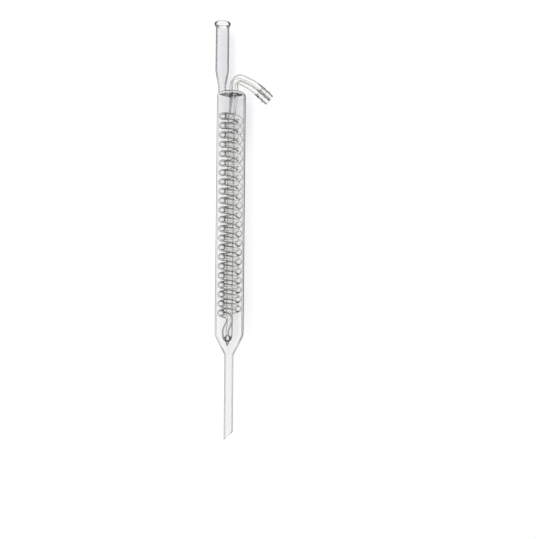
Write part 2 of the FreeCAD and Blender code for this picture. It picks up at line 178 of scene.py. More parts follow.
class WaterLineSizes(bpy.types.PropertyGroup):
    tube_diameter: millimetres("Tube diameter", "Outside of the coil's tubing", 8.0)
    tube_wall: millimetres("Tube wall", "Wall of the coil's tubing", 1.0)
    coil_radius: millimetres("Coil radius", "Jacket's axis to the tubing's middle", 10.4)
    coil_turns: bpy.props.FloatProperty(
        name="Turns", description="Turns between the lowest and highest left sides",
        default=21.0)
    coil_bottom: millimetres("Coil bottom", "Height of the lowest left side", 51.8)
    coil_top_gap: millimetres("Coil top gap", "Highest left side to the top plate", 27.95)
    riser_angle: degrees("Riser", "Turn from the left side to the riser", 97.0)
    riser_bend: millimetres("Riser bend", "Radius of the bend from coil to riser", 7.0)
    tail_angle: degrees("Return limb", "Turn from the left side to the return limb", 69.7)
    tail_bend: millimetres("Tail bends", "Radius of the bends below the coil", 6.5)
    tail_swing: degrees("Tail swing", "How far the tail leans past upright", 25.0)
    tail_run: millimetres("Tail run", "Straight run between the tail's bends", 8.0)
    return_height: millimetres("Return bend", "Height of the return bend's centre", 26.8)
    drip_diameter: millimetres("Drip base", "Base of the drip point", 5.3)
    drip_length: millimetres("Drip point", "Return bend to the drip point's tip", 4.8)
    drip_round: millimetres("Drip tip", "Radius melted on to the drip point's tip", 0.5)
    inlet_offset: millimetres("Inlet offset", "Jacket's axis to the inlet", 4.0)
    sway_length: millimetres("Sway", "Length over which the central tube moves aside", 24.0)
    sway_gap: millimetres("Sway gap", "Inside of the top plate to the upper bend", 2.0)
    sway_round: millimetres("Sway bends", "Radius of the two gentle bends", 30.0)
    rise: millimetres("Rise", "Top plate to the connectors' first bend", 11.3)
    inlet_arm: millimetres("Inlet arm", "Straight part of the inlet's arm", 9.8)
    inlet_turn: degrees("Inlet turn", "Turn of the inlet about its base", 12.0)
    outlet_arm: millimetres("Outlet arm", "Straight part of the outlet's arm", 7.8)
    outlet_turn: degrees("Outlet turn", "Turn of the outlet about its base", -3.8)
    hose_bend: millimetres("Hose bend", "Radius of the connectors' first bend", 6.5)
    end_run: millimetres("End run", "Straight run from the second bend to the ridges", 1.0)
    droop_round: millimetres("Droop bend", "Radius of the gentle second bend", 60.0)
    first_droop: degrees("First droop", "Slope of the arm after the first bend", 27.0)
    last_droop: degrees("Last droop", "Slope of the ridged end", 42.0)


class HoseEndSizes(bpy.types.PropertyGroup):
    ridge_diameter: millimetres("Ridges", "Outside of the hose ridges", 8.9)
    valley_diameter: millimetres("Valleys", "Outside between the ridges", 7.2)
    ridge_pitch: millimetres("Pitch", "Distance from ridge to ridge", 7.3)
    ridge_count: bpy.props.IntProperty(
        name="Count", description="Ridges on each connector", default=2)
    ridge_step: millimetres("Step", "Length of the steep back of a ridge", 1.7)
    ridge_round: millimetres("Crest", "Radius on the crest of a ridge", 0.6)
    mouth_length: millimetres("Mouth", "Plain end past the last ridge", 1.5)
    mouth_wall: millimetres("Mouth wall", "Wall at the connector's mouth", 1.0)
    join_length: millimetres("Join", "Half the length of the seal before the ridges", 0.8)
    join_bead: millimetres("Bead", "How far that seal stands proud of the tube", 0.12)
    collar_round: millimetres("Collar", "Radius of the seal round a tube on the plate", 1.2)


class GlassLook(bpy.types.PropertyGroup):
    # The wall's tint is lighter below head_start than round the head: painted light that
    # brightens the jacket round the coil, where glints off the strands would brighten it.
    body: colour("Body", "Light that the wall of stem and jacket lets through", "fafafa")
    head_body: colour("Head", "The same round the top plate and in the vent tube", "f5f5f7")
    tubing_body: colour("Tubing", "Light that the tubing's wall lets through", "fffffe")
    # Painted shade: the dark colour that edge-on walls are painted with.
    edge: colour("Edge", "Light that is left where a wall is seen edge on", "57534f")
    shadow: colour("Shadow", "Light in the shadow of stem and jacket", "fdfdfe")
    head_shadow: colour("Head's shadow", "Light in the shadow of the vent tube", "bcbcca")
    tubing_shadow: colour("Tubing's shadow", "Light in the shadow of the tubing's wall",
                          "fefeff")
    edge_shadow: colour("Edge's shadow", "Light in the shadow of a wall's edge", "c4c4c8")
    head_start: millimetres("Head start", "Height where the head's tint comes in", 250.0)
    head_full: millimetres("Head full", "Height above which the head's tint is full", 300.0)
    # Each zone below is the share of a tube's radius from which its edge is painted dark: painted
    # shade, not refraction.
    jacket_zone: share("Jacket edge", "Where the jacket's edge turns dark", 0.95)
    # Painted shade: the jacket's edge is painted dark sooner on its side away from the key lamp.
    painted_shade_zone: share("Shade edge", "The same on the jacket's side away from the light", 0.915)
    vent_zone: share("Vent edge", "Where the vent tube's edge turns dark", 0.85)
    stem_zone: share("Stem edge", "Where the drip stem's edge turns dark", 0.86)
    coil_zone: share("Coil edge", "Where the coil tubing's edge turns dark", 0.8)
    # Painted light: both sides of the coil get thinner dark edges than its middle, as if they
    # caught more light.
    painted_light_turn_zone: share("Turn edge", "The same at both sides of the coil, where the tubing "
                     "turns away and catches more light", 0.94)
    tail_zone: share("Tail edge", "Where the edge of the tail and return limb turns dark", 0.76)
    collar_zone: share("Collar edge", "Where the seals on the top plate turn dark", 0.6)
    lip_zone: share("Lip edge", "Where the rolled lip's edge turns dark", 0.5)
    drip_zone: share("Drip edge", "Where the solid drip point's edge turns dark", 0.3)
    ridge_zone: share("Ridge edge", "Where the hose ridges' edge turns dark", 0.7)
    hose_zone: share("Connector edge", "Where the hose connectors' edge turns dark", 0.85)
    tail_height: millimetres("Tail height", "Height under which the tail's edge holds", 45.0)
    ridge_reach: millimetres("Ridge reach", "Jacket's axis to the start of the ridges", 33.0)
    edge_blend: millimetres("Edge blend", "Length over which one edge becomes the next", 2.0)
    edge_ramp: share("Edge ramp", "Part of that edge over which it turns dark", 0.5)
    # Painted shade: how much of an edge-on wall gives way to the dark matt shader.
    painted_shade_depth: share("Edge depth", "How much of the room's reflection the edge loses", 0.85)


class StageLook(bpy.types.PropertyGroup):
    paper: colour("Paper", "Colour of the floor", "f6f6f8")
    paper_near: share("Paper near", "Part of the paper that is plain white near the object",
                      0.65)
    near_reach: millimetres("Near reach", "Object's middle to the end of that part", 350.0)
    far_reach: millimetres("Far reach", "Object's middle to where all is plain white", 800.0)
    paper_in_glass: share("Paper in glass", "The same part in what the glass shows", 0.85)
    floor_reach: millimetres("Floor reach", "Object's middle to the paper's sides", 3000.0)
    room: share("Room", "Strength of the room's light on matt things", 0.7)
    room_in_glass: share("Room in glass", "Strength of the room that the glass shows", 0.65)
    key_power: watts("Key lamp", "Power of the lamp above the condenser's left", 7.0)
    head_power: watts("Head lamp", "Power of the wide lamp beyond the vent tube", 13.0)
    camera_aside: millimetres("Camera aside", "Jacket's axis to the camera", 46.4)
    camera_along: millimetres("Camera along", "Drip stem's root to the camera", 52.9)
    camera_height: millimetres("Camera height", "Camera above the object's axis", 960.0)
    camera_shift: share("Camera shift", "Part of the view that the lens is shifted up", 0.08)
    seen_width: millimetres("Seen width", "Width of the view at the object's axis", 646.8)
    camera_roll: degrees("Camera roll", "Lean of the object in the view", 0.55)


def mesh_object(name, mesh):
    thing = bpy.data.objects.new(name, mesh)
    bpy.context.scene.collection.objects.link(thing)
    return thing


def rounded(corners, closed=False, step=radians(6)):
    """The outline through corners (across, along, radius), each rounded with its radius."""
    spots = [Vector(corner[:2]) for corner in corners]
    outline = []
    for i, corner in enumerate(corners):
        radius = corner[2] if len(corner) > 2 else 0.0
        inner = closed or 0 < i < len(corners) - 1
        if not radius or not inner:
            outline.append(spots[i])
            continue
        back = (spots[i - 1] - spots[i]).normalized()
        ahead = (spots[(i + 1) % len(spots)] - spots[i]).normalized()
        half = back.angle(ahead) / 2
        centre = spots[i] + (back + ahead).normalized() * (radius / sin(half))
        first = spots[i] + back * (radius / tan(half)) - centre
        sweep = pi - 2 * half
        hand = 1 if first.y * back.x - first.x * back.y > 0 else -1
        parts = max(2, round(sweep / step))
        for k in range(parts + 1):
            angle = hand * sweep * k / parts
            outline.append(centre + Vector((first.x * cos(angle) - first.y * sin(angle),
                                            first.x * sin(angle) + first.y * cos(angle))))
    return outline


def braced(outline, closed, edge=0.3 * MM, longest=30 * MM):
    """The same outline with points close to both ends of each long straight run, so that
    the rounding beside the run doesn't bend the shading along it."""
    result = []
    after = outline[1:] + (outline[:1] if closed else [])
    for spot, following in zip(outline, after):
        result.append(spot)
        gap = (following - spot).length
        if gap < 4 * edge:
            continue
        parts = max(1, round(gap / longest))
        ways = [edge / gap, *[k / parts for k in range(1, parts)], 1 - edge / gap]
        result += [spot.lerp(following, way) for way in ways]
    return result if closed else result + [outline[-1]]


def lathe(name, outline, sides, place=Matrix.Identity(4), closed=False, shape=None):
    """An outline of (across, along) turned about the Y axis into a closed mesh."""
    outline = braced([Vector(spot) for spot in outline], closed)
    mesh = bpy.data.meshes.new(name)
    work = bmesh.new()
    rings = []
    # On the axis a ring is one point.
    for across, along in outline:
        if across < 1e-7:
            rings.append([work.verts.new((0, along, 0))] * sides)
            continue
        ring = []
        for k in range(sides):
            angle = 2 * pi * k / sides
            spot = Vector((across * cos(angle), along, across * sin(angle)))
            ring.append(work.verts.new(shape(spot) if shape else spot))
        rings.append(ring)
    pairs = list(zip(rings, rings[1:]))
    if closed:
        pairs.append((rings[-1], rings[0]))
    for low, high in pairs:
        for k in range(sides):
            after = (k + 1) % sides
            loop = [low[k], low[after], high[after], high[k]]
            work.faces.new(list(dict.fromkeys(loop)))
    if work.calc_volume(signed=True) < 0:
        bmesh.ops.reverse_faces(work, faces=work.faces)
    work.transform(place)
    work.to_mesh(mesh)
    work.free()
    return mesh_object(name, mesh)


def jacket_blank(sizes):
    """Top plate, jacket, cone and drip stem, outside and inside, as one wall."""
    radius = sizes.diameter / 2
    stem = sizes.stem_diameter / 2
    lean = tan(sizes.cone_angle / 2)
    cone_top = sizes.cone_start + (radius - stem) / tan(sizes.cone_angle)
    tip = -sizes.stem_length
    outline = rounded([
        (0, sizes.length),
        (radius, sizes.length, sizes.shoulder_round),
        (radius, cone_top, sizes.cone_top_round),
        (stem, sizes.cone_start, sizes.cone_root_round),
        (stem, tip, sizes.cut_polish),
        (stem - sizes.stem_wall, tip, sizes.cut_polish),
        (stem - sizes.stem_wall, sizes.cone_start + sizes.stem_wall * lean,
         sizes.cone_root_round + sizes.stem_wall),
        (radius - sizes.wall, cone_top + sizes.wall * lean,
         sizes.cone_top_round - sizes.wall),
        (radius - sizes.wall, sizes.length - sizes.wall,
         sizes.shoulder_round - sizes.wall),
        (0, sizes.length - sizes.wall),
    ])

    def slanted(spot):
        if spot.y < tip + 2 * sizes.cut_polish:
            spot.y += (spot.x + stem) * tan(sizes.cut_angle)
        return spot

    return lathe("jacket_blank", outline, JACKET_SIDES, shape=slanted)


def vent_blank(jacket, sizes):
    """The vent tube's wall, with its neck's foot sunk into the top plate."""
    neck = sizes.neck_diameter / 2
    tube = sizes.diameter / 2
    lip = sizes.lip_diameter / 2
    neck_end = jacket.length + sizes.neck_length
    taper_end = neck_end + sizes.taper_length
    top = jacket.length + sizes.length
    foot = jacket.length - jacket.wall * FOOT_SHARE
    lip_start = top - sizes.lip_length
    flare_start = lip_start - sizes.flare_length
    rim = sizes.lip_thickness * RIM_SHARE
    outline = rounded([
        (neck - sizes.wall, foot),
        (neck, foot),
        (neck, neck_end, sizes.neck_round),
        (tube, taper_end, sizes.taper_round),
        (tube, flare_start, sizes.flare_length),
        (lip, lip_start, sizes.lip_length / 2),
        (lip, top, rim),
        (lip - sizes.lip_thickness, top, rim),
        (lip - sizes.lip_thickness, lip_start, sizes.lip_length / 2),
        (tube - sizes.wall, flare_start, sizes.flare_length),
        (tube - sizes.wall, taper_end, sizes.taper_round + sizes.wall),
        (neck - sizes.wall, neck_end, sizes.neck_round - sizes.wall),
    ], closed=True)
    place = Matrix.Translation((-sizes.offset, 0, 0))
    return lathe("vent_blank", outline, VENT_SIDES, place, closed=True)


def neck_drill(jacket, sizes):
    """Opens the top plate under the vent tube's neck, a hair inside its bore."""
    radius = sizes.neck_diameter / 2 - sizes.wall * DRILL_SHARE
    low = jacket.length - 3 * jacket.wall
    high = jacket.length + jacket.wall
    outline = [(0, low), (radius, low), (radius, high), (0, high)]
    place = Matrix.Translation((-sizes.offset, 0, 0))
    return lathe("neck_drill", outline, VENT_SIDES, place)


def riser_foot(sizes):
    """Where the riser passes through the top plate, seen along the jacket."""
    return Vector((-sizes.coil_radius * cos(sizes.riser_angle), 0,
                   -sizes.coil_radius * sin(sizes.riser_angle)))


def arm_corners(jacket, sizes, base, arm, turn, overrun):
    """Corners of a hose connector's arm from its first bend to its ridged end."""
    outward = Vector((cos(turn), 0, sin(turn)))
    setback = sizes.hose_bend * tan((pi / 2 + sizes.first_droop) / 2)
    easing = sizes.droop_round * tan((sizes.last_droop - sizes.first_droop) / 2)
    peak = base + ALONG * (jacket.length + sizes.rise + setback)
    first = outward * cos(sizes.first_droop) - ALONG * sin(sizes.first_droop)
    last = outward * cos(sizes.last_droop) - ALONG * sin(sizes.last_droop)
    knee = peak + first * (setback + arm + easing)
    end = knee + last * (easing + sizes.end_run)
    return [(peak, sizes.hose_bend), (knee, sizes.droop_round), (end + last * overrun, 0.0)]


def water_route(jacket, sizes, overrun):
    """The water line's corners with their bend radii: the runs in space, and the wound
    part on the flat sheet that is wrapped round the winding cylinder."""
    round_trip = 2 * pi * sizes.coil_radius
    wound = jacket.length - sizes.coil_top_gap - sizes.coil_bottom
    slope = wound / sizes.coil_turns / round_trip
    start = (sizes.coil_turns + sizes.riser_angle / (2 * pi)) * round_trip
    limb = -sizes.tail_angle / (2 * pi) * round_trip
    heading = 1.5 * pi + sizes.tail_swing
    span = sizes.tail_bend * (tan((heading - pi - atan(slope)) / 2)
                              + tan(sizes.tail_swing / 2)) + sizes.tail_run
    tail_start = limb - span * cos(heading)
    tail_level = sizes.coil_bottom + slope * tail_start
    plate = jacket.length - jacket.wall / 2
    sheet = [
        (Vector((start, plate, 0)), 0.0),
        (Vector((start, sizes.coil_bottom + slope * start, 0)), sizes.riser_bend),
        (Vector((tail_start, tail_level, 0)), sizes.tail_bend),
        (Vector((limb, tail_level + span * sin(heading), 0)), sizes.tail_bend),
        (Vector((limb, sizes.return_height, 0)), 0.0),
    ]

    angle = limb / sizes.coil_radius
    limb_foot = Vector((-sizes.coil_radius * cos(angle), 0, -sizes.coil_radius * sin(angle)))
    u_radius = sizes.coil_radius / 2
    u_level = ALONG * (sizes.return_height - u_radius)
    aside = Vector((sizes.inlet_offset, 0, 0))
    sway_top = (jacket.length - jacket.wall - sizes.sway_gap
                - sizes.sway_round * tan(asin(sizes.inlet_offset / sizes.sway_length) / 2))
    sway_foot = sway_top - sqrt(sizes.sway_length ** 2 - sizes.inlet_offset ** 2)
    inlet = arm_corners(jacket, sizes, aside, sizes.inlet_arm, sizes.inlet_turn, overrun)
    central = inlet[::-1] + [
        (aside + ALONG * sway_top, sizes.sway_round),
        (ALONG * sway_foot, sizes.sway_round),
        (u_level, u_radius),
        (limb_foot + u_level, u_radius),
        (limb_foot + ALONG * sizes.return_height, 0.0),
    ]
    riser = riser_foot(sizes)
    outlet = [(riser + ALONG * plate, 0.0)] + arm_corners(
        jacket, sizes, riser, sizes.outlet_arm, sizes.outlet_turn, overrun)
    return sheet, [central, outlet]


def route_mesh(name, sheet, runs):
    """Edges along the route, with each corner's bend radius and whether it is wound."""
    spots, edges, bends, wound = [], [], [], []
    for chain, on_sheet in [(sheet, True)] + [(run, False) for run in runs]:
        first = len(spots)
        spots += [spot for spot, _ in chain]
        bends += [bend for _, bend in chain]
        wound += [on_sheet] * len(chain)
        edges += [(i, i + 1) for i in range(first, len(spots) - 1)]
    mesh = bpy.data.meshes.new(name)
    mesh.from_pydata(spots, edges, [])
    mesh.attributes.new("bend", "FLOAT", "POINT").data.foreach_set("value", bends)
    mesh.attributes.new("wound", "BOOLEAN", "POINT").data.foreach_set("value", wound)
    return mesh_object(name, mesh)


def add_node(tree, kind, links=None, **settings):
    """Adds a node; links maps an input's name or number to a value or another socket."""
    node = tree.nodes.new(kind)
    for name, value in settings.items():
        setattr(node, name, value)
    for key, value in (links or {}).items():
        socket = node.inputs[key]
        if isinstance(value, bpy.types.NodeSocket):
            tree.links.new(value, socket)
        else:
            socket.default_value = value
    return node


def tubing_tree():
    """Geometry Nodes that bend, wind and draw out a length of tubing along a route."""
    tree = bpy.data.node_groups.new("Wound tubing", "GeometryNodeTree")
    face = tree.interface
    face.new_socket("Geometry", in_out="INPUT", socket_type="NodeSocketGeometry")
    for name in ("Tube Radius", "Winding Radius", "Step"):
        socket = face.new_socket(name, in_out="INPUT", socket_type="NodeSocketFloat")
        socket.subtype = "DISTANCE"
    face.new_socket("Sides", in_out="INPUT", socket_type="NodeSocketInt")
    face.new_socket("Material", in_out="INPUT", socket_type="NodeSocketMaterial")
    face.new_socket("Geometry", in_out="OUTPUT", socket_type="NodeSocketGeometry")
    given = add_node(tree, "NodeGroupInput").outputs

    bend = add_node(tree, "GeometryNodeInputNamedAttribute", {"Name": "bend"},
                    data_type="FLOAT")
    wound = add_node(tree, "GeometryNodeInputNamedAttribute", {"Name": "wound"},
                     data_type="BOOLEAN")
    route = add_node(tree, "GeometryNodeMeshToCurve", {"Mesh": given["Geometry"]})
    bent = add_node(tree, "GeometryNodeFilletCurve", {
        "Curve": route.outputs["Curve"], "Radius": bend.outputs["Attribute"],
        "Count": BEND_POINTS, "Limit Radius": True}, mode="POLY")
    divided = add_node(tree, "GeometryNodeResampleCurve", {
        "Curve": bent.outputs["Curve"], "Length": given["Step"]}, mode="LENGTH")

    # The sheet's X is the way round the cylinder: it turns into an angle.
    place = add_node(tree, "GeometryNodeInputPosition")
    sheet = add_node(tree, "ShaderNodeSeparateXYZ", {0: place.outputs["Position"]})
    angle = add_node(tree, "ShaderNodeMath", {
        0: sheet.outputs["X"], 1: given["Winding Radius"]}, operation="DIVIDE")
    inwards = add_node(tree, "ShaderNodeMath", {
        0: given["Winding Radius"], 1: -1.0}, operation="MULTIPLY")
    sides = []
    for part in ("COSINE", "SINE"):
        turned = add_node(tree, "ShaderNodeMath", {0: angle.outputs[0]}, operation=part)
        sides.append(add_node(tree, "ShaderNodeMath", {
            0: turned.outputs[0], 1: inwards.outputs[0]}, operation="MULTIPLY"))
    round_cylinder = add_node(tree, "ShaderNodeCombineXYZ", {
        "X": sides[0].outputs[0], "Y": sheet.outputs["Y"], "Z": sides[1].outputs[0]})
    wrapped = add_node(tree, "GeometryNodeSetPosition", {
        "Geometry": divided.outputs["Curve"], "Selection": wound.outputs["Attribute"],
        "Position": round_cylinder.outputs[0]})

    # The lengths are joined end to end, and one ring is drawn along them all.
    line = add_node(tree, "GeometryNodeCurveToMesh", {"Curve": wrapped.outputs["Geometry"]})
    joined = add_node(tree, "GeometryNodeMergeByDistance", {
        "Geometry": line.outputs["Mesh"], "Distance": JOIN_GAP})
    whole = add_node(tree, "GeometryNodeMeshToCurve", {"Mesh": joined.outputs["Geometry"]})
    ring = add_node(tree, "GeometryNodeCurvePrimitiveCircle", {
        "Resolution": given["Sides"], "Radius": given["Tube Radius"]}, mode="RADIUS")
    drawn = add_node(tree, "GeometryNodeCurveToMesh", {
        "Curve": whole.outputs["Curve"], "Profile Curve": ring.outputs["Curve"],
        "Fill Caps": True})
    real = add_node(tree, "GeometryNodeRealizeInstances",
                    {"Geometry": drawn.outputs["Mesh"]})
    glazed = add_node(tree, "GeometryNodeSetMaterial", {
        "Geometry": real.outputs["Geometry"], "Material": given["Material"]})
    add_node(tree, "NodeGroupOutput", {"Geometry": glazed.outputs["Geometry"]})
    return tree


def plain_mesh(thing, name):
    """The evaluated object as a plain mesh object, in place of the old one."""
    graph = bpy.context.evaluated_depsgraph_get()
    mesh = bpy.data.meshes.new_from_object(thing.evaluated_get(graph))
    mesh.name = name
    bpy.data.objects.remove(thing)
    return mesh_object(name, mesh)


def draw_tubing(name, tree, route, radius, sides, winding, material):
    """Runs the tubing tree along a route and keeps the plain mesh."""
    thing = route_mesh(name, *route)
    modifier = thing.modifiers.new("Tubing", "NODES")
    modifier.node_group = tree
    inputs = {item.name: item.identifier for item in tree.interface.items_tree
              if item.in_out == "INPUT"}
    modifier[inputs["Tube Radius"]] = radius
    modifier[inputs["Winding Radius"]] = winding
    modifier[inputs["Step"]] = TUBING_STEP
    modifier[inputs["Sides"]] = sides
    modifier[inputs["Material"]] = material
    return plain_mesh(thing, name)


def hose_end(name, water, ends, end, direction):
    """The ridged end that a hose is pushed over, with the seal behind it."""
    bore = ends.valley_diameter / 2 - ends.mouth_wall
    tube = water.tube_diameter / 2
    valley = ends.valley_diameter / 2
    corners = [
        (tube - water.tube_wall - ends.join_bead, -ends.join_length),
        (tube + ends.join_bead, -ends.join_length, ends.join_bead),
        (tube + ends.join_bead, ends.join_length, ends.join_bead),
    ]
    for i in range(ends.ridge_count):
        low = ends.join_length + i * ends.ridge_pitch
        corners += [
            (valley, low + ends.ridge_step * VALLEY_SHARE, 2 * ends.join_bead),
            (ends.ridge_diameter / 2, low + ends.ridge_step, ends.ridge_round),
        ]
    taper_end = ends.join_length + ends.ridge_count * ends.ridge_pitch
    mouth = taper_end + ends.mouth_length
    corners += [
        (valley, taper_end, ends.mouth_length / 2),
        (valley, mouth, ends.mouth_wall * RIM_SHARE),
        (bore, mouth, ends.mouth_wall * RIM_SHARE),
        (bore, ends.join_length + ends.ridge_step),
    ]
    place = Matrix.Translation(end) @ ALONG.rotation_difference(direction).to_matrix().to_4x4()
    return lathe(name, rounded(corners, closed=True), RING_SIDES, place, closed=True)


def seal_collar(name, water, ends, foot, level, side):
    """The ring of glass that seals a tube into the top plate, on one side of it."""
    tube = water.tube_diameter / 2
    middle = tube - water.tube_wall / 2
    collar = ends.collar_round
    # Its foot is sunk in the plate and its inner side in the tube's wall.
    corners = [
        (middle, level - side * collar / 2),
        (tube + collar, level - side * collar / 2),
        (tube + collar, level + side * collar / 4),
        (tube, level + side * collar / 4, collar * HOLLOW_SHARE),
        (tube, level + side * collar * 1.5),
        (middle, level + side * collar * COLLAR_REACH),
    ]
    return lathe(name, rounded(corners, closed=True), RING_SIDES,
                 Matrix.Translation(foot), closed=True)


def return_foot(water):
    """Height of the return bend's underside."""
    return water.return_height - water.coil_radius / 2 - water.tube_diameter / 2


def drip_point(water):
    """The solid point under the return bend, where the drops fall from."""
    limb = water.tail_angle
    middle = Vector((-water.coil_radius / 2 * cos(limb), 0, water.coil_radius / 2 * sin(limb)))
    under = return_foot(water)
    outline = rounded([
        (0, under - water.drip_length),
        (water.drip_round, under - water.drip_length, water.drip_round / 2),
        (water.drip_diameter / 2, under + 1.5 * water.tube_wall),
        (0, under + 1.5 * water.tube_wall),
    ])
    return lathe("drip_point", outline, DRIP_SIDES, Matrix.Translation(middle))


def fuse(base, parts, operation, name):
    """One boolean of a mesh with several others, kept as a plain mesh."""
    group = bpy.data.collections.new(name)
    for part in parts:
        group.objects.link(part)
    modifier = base.modifiers.new("Fuse", "BOOLEAN")
    modifier.operation = operation
    modifier.solver = "MANIFOLD"
    modifier.operand_type = "COLLECTION"
    modifier.material_mode = "TRANSFER"
    modifier.collection = group
    result = plain_mesh(base, name)
    for part in parts:
        bpy.data.objects.remove(part)
    bpy.data.collections.remove(group)
    return result


def blown_borosilicate(name, look, bodies, shadows, zone, changes):
    """Borosilicate tubing, drawn and flame-worked: clear, hard and glossy, with faint
    lengthwise draw marks and soft waves that make its reflections swim a little. Bodies
    and shadows each hold a colour for the condenser and one for its head. Where a wall is
    seen edge on, it is painted dark from the given share of the tube's radius on: painted
    shade, standing in for the dark room that the glass would show there. Its tint turns to
    the edge colour, and part of the glass gives way to a dark matt shader. Each change
    gives another share, and where along an axis it comes in."""
    material = bpy.data.materials.new(name)
    material.use_nodes = True
    tree = material.node_tree
    tree.nodes.clear()
    place = add_node(tree, "ShaderNodeTexCoord")
    marks_place = add_node(tree, "ShaderNodeMapping", {
        "Vector": place.outputs["Object"],
        "Scale": (1 / MARK_SPACING, 1 / MARK_LENGTH, 1 / MARK_SPACING)},
        vector_type="POINT")
    marks = add_node(tree, "ShaderNodeTexNoise", {
        "Vector": marks_place.outputs[0], "Scale": 1.0, "Detail": 2.0})
    waves = add_node(tree, "ShaderNodeTexNoise", {
        "Vector": place.outputs["Object"], "Scale": 1 / WAVE_LENGTH, "Detail": 1.0})
    marks_bump = add_node(tree, "ShaderNodeBump", {
        "Height": marks.outputs[0], "Strength": 0.05, "Distance": 0.01 * MM})
    waves_bump = add_node(tree, "ShaderNodeBump", {
        "Height": waves.outputs[0], "Strength": 0.05, "Distance": 0.2 * MM,
        "Normal": marks_bump.outputs[0]})

    # Facing is 1 less the cosine of the slope; its sine is the share of the radius.
    facing = add_node(tree, "ShaderNodeLayerWeight", {"Blend": 0.5})
    cosine = add_node(tree, "ShaderNodeMath", {0: 1.0, 1: facing.outputs["Facing"]},
                      operation="SUBTRACT")
    slope = add_node(tree, "ShaderNodeMath", {0: cosine.outputs[0]}, operation="ARCCOSINE")
    outwards = add_node(tree, "ShaderNodeMath", {0: slope.outputs[0]}, operation="SINE")
    along = add_node(tree, "ShaderNodeSeparateXYZ", {0: place.outputs["Object"]})
    start = add_node(tree, "ShaderNodeValue")
    start.outputs[0].default_value = zone
    for axis, low, high, other in changes:
        start = add_node(tree, "ShaderNodeMapRange", {
            "Value": along.outputs[axis], "From Min": low, "From Max": high,
            "To Min": start.outputs[0], "To Max": other}, interpolation_type="SMOOTHSTEP")
    full = add_node(tree, "ShaderNodeMath", {
        0: start.outputs[0], 1: 1 - look.edge_ramp, 2: look.edge_ramp},
        operation="MULTIPLY_ADD")
    # The mask of the painted edge shade: 0 where the wall faces the view, rising to 1 from the
    # zone's share of the radius outwards.
    edge = add_node(tree, "ShaderNodeMapRange", {
        "Value": outwards.outputs[0], "From Min": start.outputs[0],
        "From Max": full.outputs[0]}, interpolation_type="SMOOTHSTEP")
    at_head = add_node(tree, "ShaderNodeMapRange", {
        "Value": along.outputs["Y"], "From Min": look.head_start,
        "From Max": look.head_full})
    wall, wall_shadow = (add_node(tree, "ShaderNodeMix", {
        0: at_head.outputs[0], 6: (*low, 1), 7: (*high, 1)}, data_type="RGBA")
        for low, high in (bodies, shadows))
    # Painted shade: on edge-on walls the tint turns to the dark edge colour.
    tint = add_node(tree, "ShaderNodeMix", {
        0: edge.outputs[0], 6: wall.outputs[2], 7: (*look.edge, 1)}, data_type="RGBA")
    # Fire-polished, so without roughness; 1.47 is borosilicate's refractive index.
    glass = add_node(tree, "ShaderNodeBsdfPrincipled", {
        "Base Color": tint.outputs[2], "Roughness": 0.0, "IOR": 1.47,
        "Transmission Weight": 1.0, "Normal": waves_bump.outputs[0]})
    # More painted shade: on edge-on walls part of the glass gives way to a dark matt shader.
    depth = add_node(tree, "ShaderNodeMath", {0: edge.outputs[0], 1: look.painted_shade_depth},
                     operation="MULTIPLY")
    dark = add_node(tree, "ShaderNodeBsdfDiffuse", {"Color": (*look.edge, 1)})
    clear = add_node(tree, "ShaderNodeMixShader", {
        0: depth.outputs[0], 1: glass.outputs[0], 2: dark.outputs[0]})
    shade = add_node(tree, "ShaderNodeMix", {
        0: edge.outputs[0], 6: wall_shadow.outputs[2], 7: (*look.edge_shadow, 1)},
        data_type="RGBA")
    lets_through = add_node(tree, "ShaderNodeBsdfTransparent", {"Color": shade.outputs[2]})
    path = add_node(tree, "ShaderNodeLightPath")
    mixed = add_node(tree, "ShaderNodeMixShader", {
        0: path.outputs["Is Shadow Ray"], 1: clear.outputs[0], 2: lets_through.outputs[0]})
    add_node(tree, "ShaderNodeOutputMaterial", {"Surface": mixed.outputs[0]})
    return material


